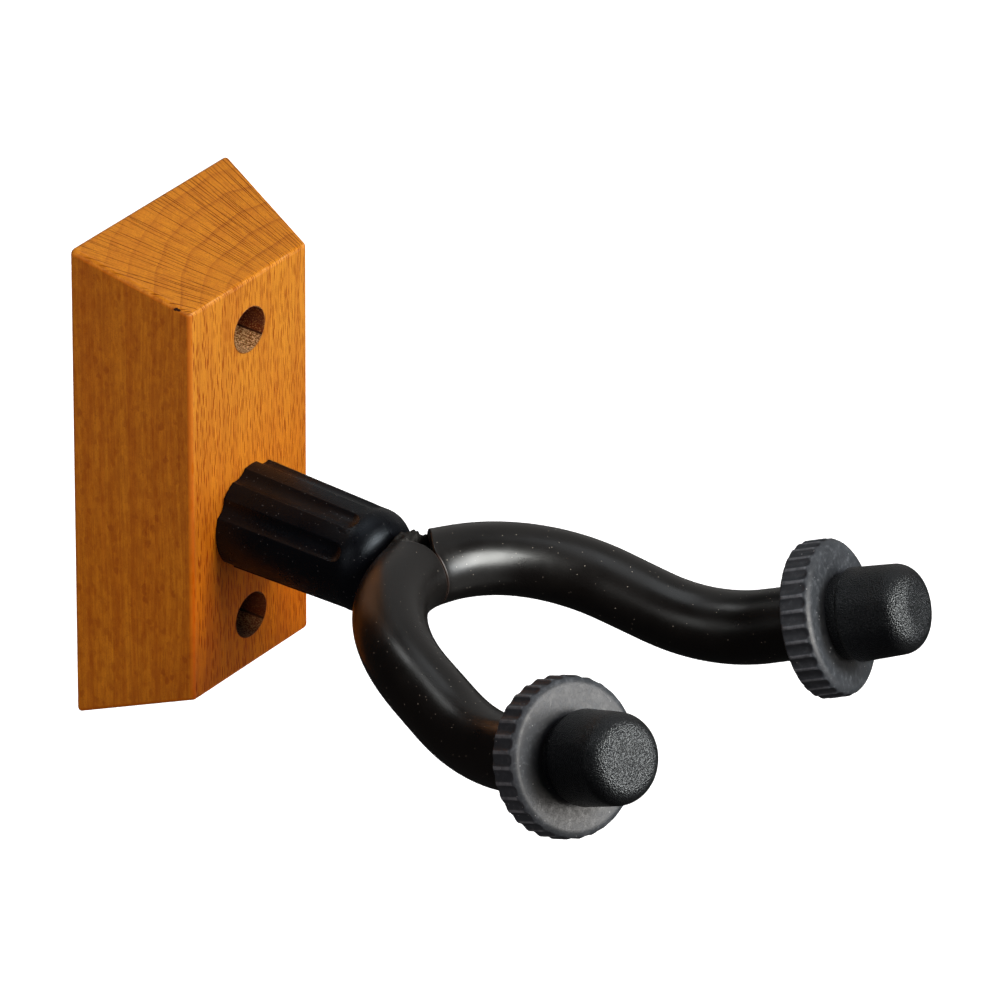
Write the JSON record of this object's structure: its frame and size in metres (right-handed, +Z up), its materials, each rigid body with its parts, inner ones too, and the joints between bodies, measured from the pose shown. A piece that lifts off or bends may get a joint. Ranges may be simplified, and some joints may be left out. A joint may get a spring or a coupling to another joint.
{
  "type": "wall guitar hanger",
  "caption": "Wall hanger for a guitar: tapered wooden base, fluted collar and a rubber-sleeved yoke that swivels on its stem, with ribbed stop rings and end caps.",
  "frame": {"origin": "on the wall, at the middle of the base's back face, midway between the two wall screws", "axes": "+Z up, +X to the right of someone who faces the wall, +Y into the wall; the hanger stands out along -Y"},
  "size_m": [0.1173, 0.1548, 0.1048],
  "materials": {
    "stained_beech": "satin lacquer over stained beech",
    "collar_plastic": "satin black moulded plastic",
    "sleeve_rubber": "smooth black-brown rubber tube with a soft sheen",
    "ring_rubber": "matt grey moulded rubber",
    "cap_plastic": "black plastic with a coarse spark texture",
    "yoke_steel": "black painted steel",
    "zinc_steel": "zinc-plated steel",
    "nylon": "natural nylon"
  },
  "bodies": {
    "wall_base": {"wood_block": "stained_beech", "rear_washer": "zinc_steel"},
    "collar": {"stem_collar": "collar_plastic"},
    "yoke": {"yoke_rod": "yoke_steel", "stem": "yoke_steel", "spring_washer": "zinc_steel", "lock_nut": "zinc_steel", "lock_nut_insert": "nylon", "left_sleeve": "sleeve_rubber", "right_sleeve": "sleeve_rubber", "left_stop_ring": "ring_rubber", "right_stop_ring": "ring_rubber", "left_end_cap": "cap_plastic", "right_end_cap": "cap_plastic"}
  },
  "joints": [
    {"name": "yoke_swivel", "type": "hinge", "parent": "wall_base", "child": "yoke", "pos_m": [0, -0.025, -0.0091], "axis": [0, -1, 0], "continuous": true},
    {"name": "collar_turn", "type": "hinge", "parent": "wall_base", "child": "collar", "pos_m": [0, -0.025, -0.0091], "axis": [0, -1, 0], "continuous": true}
  ]
}
